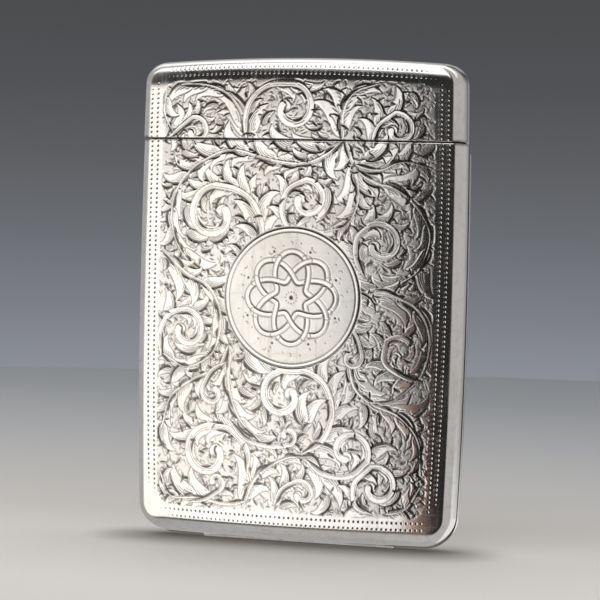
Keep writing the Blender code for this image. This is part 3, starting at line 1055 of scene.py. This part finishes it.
def make_lid(plate, material):
    sheet = Sheet("lid_shell", LID_SHIFT)
    seam = FRONT_SEAM + SEAM_GAP / 2
    half = HALF_WIDTH - LID_NARROWER
    lattice = Lattice(
        half, CASE_TOP, TOP_CORNER, 1, spaced(half - TOP_CORNER, TOP_CORNER, GRID),
        row_marks(CASE_TOP - TOP_CORNER - FRONT_SEAM, TOP_CORNER, GRID)
    )
    outer = lay_front(sheet, lattice, seam, plate=plate)
    inner = lay_front(sheet, lattice, seam, WALL, COARSE)
    outer_back = lay_back(sheet, lattice, front_seam=seam, front_path=outer[1][-1], plate=plate)
    inner_back = lay_back(sheet, lattice, WALL, COARSE, front_seam=seam, front_path=inner[1][-1])
    sheet.rim(seam_line(*outer), seam_line(*inner))
    sheet.rim(seam_line(*outer_back), seam_line(*inner_back))
    tail, coarse_tail = TAIL_ROWS + 1, TAIL_ROWS // COARSE + 1
    sheet.rim(outer_back[1][-1][:tail], inner_back[1][-1][:coarse_tail])
    sheet.rim(outer_back[1][-1][-tail:], inner_back[1][-1][-coarse_tail:])
    return sheet.make(material, "top", "lid")


def make_back(plate, material):
    sheet = Sheet("back_tray")
    lattice = Lattice(
        HALF_WIDTH, BACK_FOOT, FOOT_CORNER, -1, spaced(HALF_WIDTH - FOOT_CORNER, FOOT_CORNER, GRID),
        row_marks(BACK_SEAM - BACK_FOOT - FOOT_CORNER, FOOT_CORNER, GRID)
    )
    edge = foot_edge(PARTING_GAP / 2)
    outer = lay_back(sheet, lattice, edge=edge, plate=plate)
    inner = lay_back(sheet, lattice, WALL, COARSE, edge=edge)
    sheet.rim(seam_line(*outer), seam_line(*inner))
    sheet.rim(outer[1][-1], inner[1][-1])
    return sheet.make(material, "case", "back_shell")


# ---------------------------------------------------------------------------
# Materials
# ---------------------------------------------------------------------------

class Nodes:
    """A short way to write node trees."""

    def __init__(self, tree):
        self.tree = tree

    def new(self, kind, inputs=None, **settings):
        node = self.tree.nodes.new(kind)
        for name, value in settings.items():
            setattr(node, name, value)
        for name, value in (inputs or {}).items():
            socket = node.inputs[name]
            if isinstance(value, bpy.types.NodeSocket):
                self.tree.links.new(value, socket)
            else:
                socket.default_value = value
        return node

    def math(self, operation, a, b=0.0, clamp=False):
        return self.new("ShaderNodeMath", {0: a, 1: b}, operation=operation, use_clamp=clamp).outputs[0]

    def ramp(self, value, low, high, to_low=0.0, to_high=1.0, smooth=True):
        kind = "SMOOTHSTEP" if smooth else "LINEAR"
        inputs = {"Value": value, "From Min": low, "From Max": high, "To Min": to_low, "To Max": to_high}
        return self.new("ShaderNodeMapRange", inputs, interpolation_type=kind).outputs[0]

    def mix(self, factor, a, b):
        node = self.new("ShaderNodeMix", data_type="RGBA")
        for socket, value in zip((node.inputs[0], node.inputs[6], node.inputs[7]), (factor, a, b)):
            if isinstance(value, bpy.types.NodeSocket):
                self.tree.links.new(value, socket)
            else:
                socket.default_value = value
        return node.outputs[2]

    def noise(self, vector, scale, detail=3.0, roughness=0.5):
        inputs = {"Vector": vector, "Scale": scale, "Detail": detail, "Roughness": roughness}
        return self.new("ShaderNodeTexNoise", inputs).outputs[0]

    def stretched(self, vector, scale, turn):
        """The coordinates turned and stretched, so that a noise read with them runs in streaks."""
        inputs = {"Vector": vector, "Scale": scale, "Rotation": turn}
        return self.new("ShaderNodeMapping", inputs).outputs[0]


def grey(value, warmth=0.0):
    return (value * (1 + warmth), value, value * (1 - warmth), 1.0)


# Stretch and turn of each set of fine scratches
SCRATCHES = (
    ((900.0, 900.0, 40.0), (0.0, 0.25, 0.0)),
    ((60.0, 900.0, 1100.0), (0.0, 0.5, 0.2)),
    ((700.0, 700.0, 30.0), (0.3, -0.7, 0.0)),
)


def silver(name, bright=0.93, warmth=0.015, polish=0.1, engraved=False, tarnish=0.3, wear=1.0):
    """Silver with fine scratches, uneven polish, tarnish in its cuts and hollows, painted shade along its
    seams, and cloudy patches.
    """
    material = bpy.data.materials.new(name)
    material.use_nodes = True
    nodes = Nodes(material.node_tree)
    shader = material.node_tree.nodes["Principled BSDF"]
    place = nodes.new("ShaderNodeTexCoord").outputs["Object"]

    clouds = nodes.noise(place, 90.0, 4.0)
    patches = nodes.noise(place, 700.0, 3.0, 0.6)
    cloudy = grey(bright * (1 - 0.1 * wear), warmth * 2.5)
    colour = nodes.mix(nodes.ramp(clouds, 0.4, 0.75), grey(bright, warmth), cloudy)
    dull = nodes.math("MULTIPLY", nodes.ramp(patches, 0.45, 0.8), tarnish)
    colour = nodes.mix(dull, colour, grey(0.42, 0.06))
    rough = nodes.ramp(clouds, 0.3, 0.8, polish * 0.8, polish * 1.5)
    if engraved:
        # The cut attribute darkens the colour: tarnish in the engraved cuts and punched dots, and painted
        # shade along the seams and the parting line
        cut = nodes.new("ShaderNodeAttribute", attribute_name="cut").outputs["Fac"]
        matt = nodes.new("ShaderNodeAttribute", attribute_name="matt").outputs["Fac"]
        colour = nodes.mix(nodes.math("MULTIPLY", matt, 0.22), colour, grey(0.5, 0.03))
        dark = nodes.math("MULTIPLY", nodes.math("POWER", cut, 0.85), 0.97)
        colour = nodes.mix(dark, colour, (0.06, 0.05, 0.043, 1.0))
        rough = nodes.math("ADD", rough, nodes.math("MULTIPLY", matt, 0.16))
        rough = nodes.math("ADD", rough, nodes.math("MULTIPLY", cut, 0.1))

    scratch = None
    for scale, turn in SCRATCHES:
        line = nodes.ramp(nodes.noise(nodes.stretched(place, scale, turn), 1.0, 2.0), 0.6, 0.72)
        scratch = line if scratch is None else nodes.math("MAXIMUM", scratch, line)
    rough = nodes.math("ADD", rough, nodes.math("MULTIPLY", scratch, 0.05 * wear))
    uneven = nodes.noise(place, 140.0, 1.0)
    scratched = nodes.math("MULTIPLY", scratch, -0.35 * wear)
    height = nodes.math("ADD", nodes.math("MULTIPLY", uneven, 12.0), scratched)
    height = nodes.math("ADD", height, nodes.math("MULTIPLY", patches, 0.5))
    bump = nodes.new("ShaderNodeBump", {"Height": height, "Strength": 0.5, "Distance": 2e-6})
    material.node_tree.links.new(colour, shader.inputs["Base Color"])
    material.node_tree.links.new(rough, shader.inputs["Roughness"])
    material.node_tree.links.new(bump.outputs[0], shader.inputs["Normal"])
    shader.inputs["Metallic"].default_value = 1.0
    return material


# ---------------------------------------------------------------------------
# Hinges, collar and rims
# ---------------------------------------------------------------------------

def lathe(node, suffix, sections, material, body, bored):
    """A turned piece along a node's axis from (x, radius) pairs, with a bore where bored is set."""
    low, high = box_mm(node)
    axis_y, axis_z = (low.y + high.y) / 2, (low.z + high.z) / 2
    sides = 40
    angle = np.arange(sides) * 2 * pi / sides
    points, faces = [], []
    for x, radius in sections:
        points += [(x, axis_y + radius * cos(a), axis_z + radius * sin(a)) for a in angle]
    count = len(sections)
    last = count if bored else count - 1
    for ring in range(last):
        for i in range(sides):
            j = (i + 1) % sides
            low, high = ring * sides, (ring + 1) % count * sides
            faces.append((low + i, low + j, high + j, high + i))
    if not bored:
        faces.append(tuple(range(sides))[::-1])
        faces.append(tuple(range((count - 1) * sides, count * sides)))
    name = f"{node}-{suffix}"
    return finished(name, new_mesh(name, points, faces), material, body, node, sharp=40)


def hinge_tubes(material):
    """The knuckles of both hinges, each with eased ends and a bore for its pin."""
    bodies = frame["record"]["behaviour"]["bodies"]
    home = {node: body for body, nodes in bodies.items() for node in nodes}
    ease = 0.06
    for node in sorted(home):
        if "knuckle" not in node:
            continue
        low, high = box_mm(node)
        radius = (high.z - low.z) / 2
        bore = radius * 0.45 + 0.05
        part = ease * 0.3
        sections = [
            (low.x, bore), (low.x, radius - ease), (low.x + part, radius - part), (low.x + ease, radius),
            (high.x - ease, radius), (high.x - part, radius - part), (high.x, radius - ease), (high.x, bore)
        ]
        lathe(node, "tube", sections, material, home[node], True)


def hinge_pins(material):
    """Pins with slightly domed ends."""
    for node in ("base_pin", "lid_pin"):
        low, high = box_mm(node)
        radius = (high.z - low.z) / 2
        sections = [
            (low.x, radius * 0.5), (low.x + 0.03, radius * 0.85), (low.x + 0.08, radius),
            (high.x - 0.08, radius), (high.x - 0.03, radius * 0.85), (high.x, radius * 0.5)
        ]
        lathe(node, "wire", sections, material, "case", False)


def swept(name, sections, material, body, node):
    """A closed strip through sections that all have the same number of points."""
    sections = np.array(sections)
    count, sides = sections.shape[:2]
    index = np.arange(count * sides).reshape(count, sides)
    faces = quads(np.hstack([index, index[:, :1]]))
    faces += [index[0].tolist()[::-1], index[-1].tolist()]
    mesh = new_mesh(name, sections.reshape(-1, 3), faces)
    return finished(name, mesh, material, body, node, sharp=40)


def collar_path(z, inset, rise_behind):
    """Half the mouth's plan at one height, from its back edge round to the middle of the front."""
    half = HALF_WIDTH - inset
    rise = SHOULDER_RISE - inset
    plan_x, depth = [half] * 4, [-rise_behind, -rise_behind * 0.6, -rise_behind * 0.3, 0.0]
    for angle in np.linspace(0, pi / 2, 19)[1:]:
        x = half - SHOULDER_RUN * (1 - cos(angle))
        plan_x.append(x)
        depth.append(sin(angle) * (rise + float(crown(np.array(x), np.array(z)))))
    for x in np.linspace(half - SHOULDER_RUN, 0, 25)[1:]:
        plan_x.append(x)
        depth.append(rise + float(crown(np.array(x), np.array(z))))
    points = bowed(np.array(plan_x), np.full(len(plan_x), z), np.array(depth))
    points[:, 2] = z
    return points


def make_collar(material):
    """The bezel in the mouth: upright below the seam, leaning in above it, with a rounded lip."""
    low, high = box_mm("mouth_collar")
    clear = 1.2
    thick = 0.5
    lean = 0.65
    behind = high.y - PARTING_Y
    bend = FRONT_SEAM - SEAM_GAP
    lip = high.z - 0.14
    brim = high.z - 0.04
    outside = [(low.z, 0.0), (bend, 0.0), (lip, lean * 0.94)]
    top = [(brim, lean + 0.08), (high.z, lean + 0.2), (high.z, lean + 0.3), (brim, lean + 0.42)]
    inside = [(lip, lean + thick * 0.97), (bend, thick), (low.z, thick)]
    columns = []
    for z, offset in outside + top + inside:
        right = collar_path(z, clear + offset, behind)
        left = right[:-1] * [-1, 1, 1]
        columns.append(np.vstack([left, right[::-1]]))
    sections = np.array(columns).transpose(1, 0, 2)
    return swept("mouth_bezel", sections, material, "case", "mouth_collar")


# ---------------------------------------------------------------------------
# Camera, light and stage
# ---------------------------------------------------------------------------

# The view, in degrees and metres: round from the front, up from level and rolled; what it looks at, and from
# how far
AZIMUTH, ELEVATION, ROLL = 16.774, 2.08, -1.404
LOOKS_AT = (0.00012, 0.0, 0.04786)
CAMERA_DISTANCE = 0.44866
FOCAL_LENGTH, SENSOR_WIDTH = 137.7, 36.0


def make_camera():
    """A long lens a little above the middle of the case and to its right, level but for a slight roll."""
    azimuth, elevation, roll = radians(AZIMUTH), radians(ELEVATION), radians(ROLL)
    target = Vector(LOOKS_AT)
    away = Vector((sin(azimuth) * cos(elevation), -cos(azimuth) * cos(elevation), sin(elevation)))
    forward = -away
    right = forward.cross(Vector((0, 0, 1))).normalized()
    up = right.cross(forward)
    level_right = right * cos(roll) - up * sin(roll)
    level_up = right * sin(roll) + up * cos(roll)
    data = bpy.data.cameras.new("camera")
    data.lens = FOCAL_LENGTH
    data.sensor_width = SENSOR_WIDTH
    data.clip_start = 0.01
    camera = linked("camera", data)
    turn = Matrix((level_right, level_up, -forward)).transposed().to_4x4()
    camera.matrix_world = Matrix.Translation(target + away * CAMERA_DISTANCE) @ turn
    bpy.context.scene.camera = camera


class Sky:
    """The studio as the case sees it: soft lights painted by direction, on a dark room."""

    def __init__(self):
        world = bpy.data.worlds.new("studio")
        bpy.context.scene.world = world
        world.use_nodes = True
        world.node_tree.nodes.clear()
        self.nodes = Nodes(world.node_tree)
        direction = self.nodes.new("ShaderNodeTexCoord").outputs["Generated"]
        parts = self.nodes.new("ShaderNodeSeparateXYZ", {0: direction})
        x, y, z = parts.outputs
        forwards = self.nodes.math("MULTIPLY", y, -1.0)
        self.side = self.nodes.math("DEGREES", self.nodes.math("ARCTAN2", x, forwards))
        self.rise = self.nodes.math("DEGREES", self.nodes.math("ARCSINE", z))
        self.total = grey(0.022)

    def window(self, value, low, high, low_edge, high_edge):
        opening = self.nodes.ramp(value, low - low_edge / 2, low + low_edge / 2)
        closing = self.nodes.ramp(value, high - high_edge / 2, high + high_edge / 2, 1.0, 0.0)
        return self.nodes.math("MULTIPLY", opening, closing)

    def light(self, across, upwards, colour, edges):
        """A soft panel between two azimuths, from -Y towards +X, and two elevations, in degrees."""
        wide = self.window(self.side, *across, *edges[:2])
        tall = self.window(self.rise, *upwards, *edges[2:])
        self.total = self.nodes.mix(self.nodes.math("MULTIPLY", wide, tall), self.total, colour)

    def finish(self):
        background = self.nodes.new("ShaderNodeBackground", {"Color": self.total, "Strength": 1.0})
        output = self.nodes.new("ShaderNodeOutputWorld")
        self.nodes.tree.links.new(background.outputs[0], output.inputs[0])


# Panels of light, each painted over the ones before: azimuths, elevations, colour, and the softness of the
# left, right, lower and upper edges, in degrees
PANELS = (
    ((-200.0, 200.0), (-200.0, -36.0), grey(0.46, 0.02), (1.0, 1.0, 1.0, 30.0)),
    ((-190.0, -44.0), (-70.0, 200.0), grey(0.4, 0.01), (1.0, 14.0, 20.0, 10.0)),
    ((-47.0, 0.8), (-19.0, 6.0), grey(1.08, 0.01), (12.0, 3.0, 16.0, 4.0)),
    ((-47.0, -11.0), (-19.0, 6.0), (1.3, 1.24, 1.15, 1.0), (12.0, 22.0, 16.0, 4.0)),
    ((-9.0, 1.0), (-5.5, 0.0), grey(0.2, 0.01), (9.0, 2.0, 4.0, 3.0)),
    ((0.8, 3.0), (-60.0, -3.0), (0.30, 0.15, 0.10, 1.0), (1.2, 1.2, 4.0, 4.0)),
    ((-58.0, 14.0), (31.5, 200.0), grey(1.4, 0.0), (12.0, 6.0, 8.0, 8.0)),
    ((22.0, 169.0), (-60.0, 200.0), grey(0.45, 0.02), (4.0, 22.0, 10.0, 10.0)),
    ((137.0, 196.0), (-40.0, -8.0), grey(0.85, 0.01), (12.0, 10.0, 10.0, 6.0)),
    ((90.0, 146.0), (38.0, 200.0), grey(1.0, 0.0), (20.0, 8.0, 16.0, 8.0)),
    ((-166.0, -90.0), (38.0, 200.0), grey(1.0, 0.0), (8.0, 20.0, 16.0, 8.0)),
    ((110.0, 200.0), (60.0, 200.0), grey(1.7, 0.0), (20.0, 1.0, 16.0, 8.0)),
    ((-200.0, -110.0), (60.0, 200.0), grey(1.7, 0.0), (1.0, 20.0, 16.0, 8.0)),
)


def make_lights():
    sky = Sky()
    for panel in PANELS:
        sky.light(*panel)
    sky.finish()


def disc(name, inner, outer, height, material, rings=24, sides=128):
    """A flat ring of the floor or, with a rising height, a bowl."""
    points, faces = [], []
    for i in range(rings + 1):
        radius = inner + (outer - inner) * i / rings
        z = height(radius)
        points += [(radius * cos(a), radius * sin(a), z) for a in np.arange(sides) * 2 * pi / sides]
    for i in range(rings):
        for j in range(sides):
            k = (j + 1) % sides
            faces.append((i * sides + j, i * sides + k, (i + 1) * sides + k, (i + 1) * sides + j))
    mesh = bpy.data.meshes.new(name)
    mesh.from_pydata(points, [], faces)
    mesh.shade_smooth()
    mesh.materials.append(material)
    piece = linked(name, mesh)
    piece.visible_glossy = False
    return piece


def stops(nodes, value, pairs):
    """A colour ramp from (place, linear colour) pairs."""
    ramp = nodes.new("ShaderNodeValToRGB", {0: value})
    elements = ramp.color_ramp.elements
    while len(elements) < len(pairs):
        elements.new(0.5)
    for element, (place, colour) in zip(elements, pairs):
        element.position = place
        element.color = colour
    return ramp.outputs[0]


# Painted light on the paper floor, brightest in front of the case and darker far behind it, and the
# backdrop's glow, painted light that darkens from the floor up
FLOOR_PAINTED_LIGHT = (
    (0.0, (0.94, 0.905, 0.855, 1)),
    (0.13, (0.87, 0.84, 0.80, 1)),
    (0.227, (0.70, 0.672, 0.645, 1)),
    (0.35, (0.60, 0.592, 0.58, 1)),
    (0.52, (0.475, 0.482, 0.498, 1)),
    (0.757, (0.335, 0.352, 0.375, 1)),
    (1.0, (0.27, 0.285, 0.31, 1)),
)
BACKDROP_PAINTED_GLOW = (
    (0.0, (0.262, 0.275, 0.309, 1)),
    (0.056, (0.209, 0.220, 0.246, 1)),
    (0.167, (0.144, 0.153, 0.168, 1)),
    (0.278, (0.109, 0.112, 0.122, 1)),
    (0.389, (0.084, 0.087, 0.095, 1)),
    (0.5, (0.074, 0.076, 0.080, 1)),
    (1.0, (0.05, 0.052, 0.055, 1)),
)

# The stage, in metres. The lowest sheet shows where the floor turns clear
FLOOR_RADIUS = 0.5
BACKDROP_WIDTH = 0.9
BACKDROP_RISE = 0.9
BELOW = -0.02


def floor_material():
    """Pale paper with painted light, brightest in front of the case, and a painted contact shadow at its
    foot. It turns clear over the front cover that swings below it.
    """
    material = bpy.data.materials.new("paper")
    material.use_nodes = True
    nodes = Nodes(material.node_tree)
    shader = material.node_tree.nodes["Principled BSDF"]
    place = nodes.new("ShaderNodeTexCoord").outputs["Object"]
    x, y, _ = nodes.new("ShaderNodeSeparateXYZ", {0: place}).outputs
    from_middle = nodes.new("ShaderNodeVectorMath", {0: place}, operation="LENGTH").outputs["Value"]
    # Painted light: the paper is painted paler in front of the case and darker behind it, where the light
    # falls off
    reach = nodes.math("MAXIMUM", y, nodes.math("SUBTRACT", from_middle, 0.12))
    colour = stops(nodes, nodes.ramp(reach, -0.1, FLOOR_RADIUS, smooth=False), FLOOR_PAINTED_LIGHT)
    # Painted contact shadow: the paper is darkened halfway to a dark grey close to the case's foot, fading
    # out by about 15 mm
    past_side = nodes.math("SUBTRACT", nodes.math("ABSOLUTE", x), 0.9 * HALF_WIDTH * MM)
    beside = nodes.math("POWER", nodes.math("MAXIMUM", past_side, 0.0), 2.0)
    before = nodes.math("POWER", nodes.math("ABSOLUTE", y), 2.0)
    from_case = nodes.math("SQRT", nodes.math("ADD", beside, before))
    colour = nodes.mix(nodes.ramp(from_case, 0.002, 0.015, 0.5, 0.0), colour, grey(0.08, 0.02))
    material.node_tree.links.new(colour, shader.inputs["Base Color"])
    shader.inputs["Roughness"].default_value = 0.75
    shader.inputs["Specular IOR Level"].default_value = 0.2
    occlusion = nodes.new("ShaderNodeAmbientOcclusion", {"Distance": 0.012}, samples=6, inside=True)
    opening = nodes.ramp(occlusion.outputs["AO"], 0.6, 0.97, 1.0, 0.0)
    clear = nodes.new("ShaderNodeBsdfTransparent").outputs[0]
    mixed = nodes.new("ShaderNodeMixShader", {0: opening, 1: shader.outputs[0], 2: clear})
    output = material.node_tree.nodes["Material Output"]
    material.node_tree.links.new(mixed.outputs[0], output.inputs["Surface"])
    return material


def glow_material(name, colours=None, top=0.34):
    """A glow: plain grey, or a gradient of colours from the floor up to a height."""
    material = bpy.data.materials.new(name)
    material.use_nodes = True
    tree = material.node_tree
    tree.nodes.clear()
    nodes = Nodes(tree)
    colour = grey(0.5, 0.01)
    if colours:
        place = nodes.new("ShaderNodeTexCoord").outputs["Object"]
        height = nodes.new("ShaderNodeSeparateXYZ", {0: place}).outputs[2]
        colour = stops(nodes, nodes.ramp(height, 0.0, top, smooth=False), colours)
    glow = nodes.new("ShaderNodeEmission", {"Color": colour, "Strength": 1.0})
    output = nodes.new("ShaderNodeOutputMaterial")
    tree.links.new(glow.outputs[0], output.inputs[0])
    return material


def bowl_height(radius):
    return BACKDROP_RISE * ((radius - FLOOR_RADIUS) / BACKDROP_WIDTH) ** 1.6


def make_stage():
    """A round paper floor that runs up into a glowing backdrop, painted light that darkens upwards. The
    silver reflects the lights, not these.
    """
    disc("floor", 0.0, FLOOR_RADIUS, lambda radius: 0.0, floor_material())
    disc("floor_below", 0.0, FLOOR_RADIUS, lambda radius: BELOW, glow_material("paper_below"))
    # The backdrop glows: painted light, darker further up
    backdrop = glow_material("backdrop", BACKDROP_PAINTED_GLOW)
    bowl = disc("backdrop", FLOOR_RADIUS, FLOOR_RADIUS + BACKDROP_WIDTH, bowl_height, backdrop)
    bowl.visible_diffuse = False
    bowl.visible_shadow = False


# ---------------------------------------------------------------------------
# Assembly
# ---------------------------------------------------------------------------

def main():
    make_camera()
    make_lights()
    make_stage()
    bpy.context.scene.view_settings.view_transform = "Standard"

    plate = engrave()
    engraved = silver("engraved_silver", engraved=True)
    make_cover(plate, engraved)
    make_lid(plate, engraved)
    make_back(plate, engraved)

    hinge = silver("hinge_silver", bright=0.85, polish=0.18, tarnish=0.7)
    hinge_tubes(hinge)
    hinge_pins(silver("pin_steel", bright=0.55, warmth=0.0, polish=0.28, tarnish=0.4))
    # A darker, duller silver for the collar and the rims: painted shade for parts that lie in the mouth and
    # the seams, with more tarnish
    inside = silver("inside_silver_shaded", bright=0.66, warmth=0.05, polish=0.34, tarnish=0.5, wear=0.8)
    make_collar(inside)
    for node in ("rim_left", "rim_right", "rim_foot"):
        frame["nodes"][node].material_slots[0].material = inside


main()
